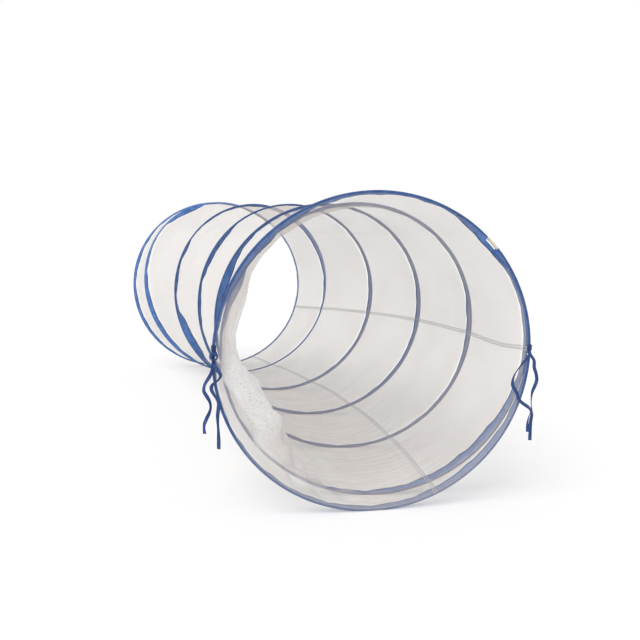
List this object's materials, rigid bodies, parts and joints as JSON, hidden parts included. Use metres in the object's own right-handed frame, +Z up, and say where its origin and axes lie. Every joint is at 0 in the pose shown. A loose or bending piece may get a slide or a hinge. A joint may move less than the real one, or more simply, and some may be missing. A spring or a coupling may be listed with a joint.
{
  "type": "kids play tunnel",
  "caption": "Pop-up crawl tunnel: a net sleeve on a spiral spring wire sewn into blue tape, with a closed ring at each mouth and ribbon ties; it folds flat along its length.",
  "frame": {"origin": "on the floor, under the middle of the tunnel's box, ties left out", "axes": "+Y square to the mouth rings, from the front mouth with the ties to the rear mouth; +X right as seen when looking into the front mouth; +Z up"},
  "size_m": [0.81, 1.5362, 0.6092],
  "materials": {
    "spring_steel": "bright drawn spring wire",
    "crimp_cover": "yellowish-white wrapped sleeve",
    "blue_tape": "woven binding tape, matt",
    "white_net": "sheer knitted net",
    "net_seam": "doubled net, stitched flat",
    "blue_ribbon": "narrow woven ribbon, slight sheen"
  },
  "bodies": {
    "front_end": {"spring_wire": "spring_steel", "front_wire_crimp": "crimp_cover", "front_lap_sleeve": "blue_tape", "front_ring_casing": "blue_tape", "casing_turn_1": "blue_tape", "casing_turn_2": "blue_tape", "casing_turn_3": "blue_tape", "casing_turn_4": "blue_tape", "casing_turn_5": "blue_tape", "net_strip_panel": "white_net", "net_wrap_panel": "white_net", "side_seam_band": "net_seam", "floor_seam_band": "net_seam", "front_right_tie_tack": "blue_ribbon", "front_right_tie_tail_a": "blue_ribbon", "front_right_tie_tail_b": "blue_ribbon", "front_left_tie_tack": "blue_ribbon", "front_left_tie_knot": "blue_ribbon", "front_left_tie_tail_a": "blue_ribbon", "front_left_tie_tail_b": "blue_ribbon"},
    "rear_end": {"rear_ring_casing": "blue_tape", "rear_lap_sleeve": "blue_tape", "rear_wire_crimp": "crimp_cover"}
  },
  "joints": [
    {"name": "collapse", "type": "slide", "parent": "front_end", "child": "rear_end", "axis": [0.123, -0.9924, 0], "range_m": [0, 1.43], "stiffness_N_per_m": 6, "springref_m": -0.3, "deforming": ["spring_wire", "casing_turn_1", "casing_turn_2", "casing_turn_3", "casing_turn_4", "casing_turn_5", "net_strip_panel", "net_wrap_panel", "side_seam_band", "floor_seam_band"]}
  ]
}
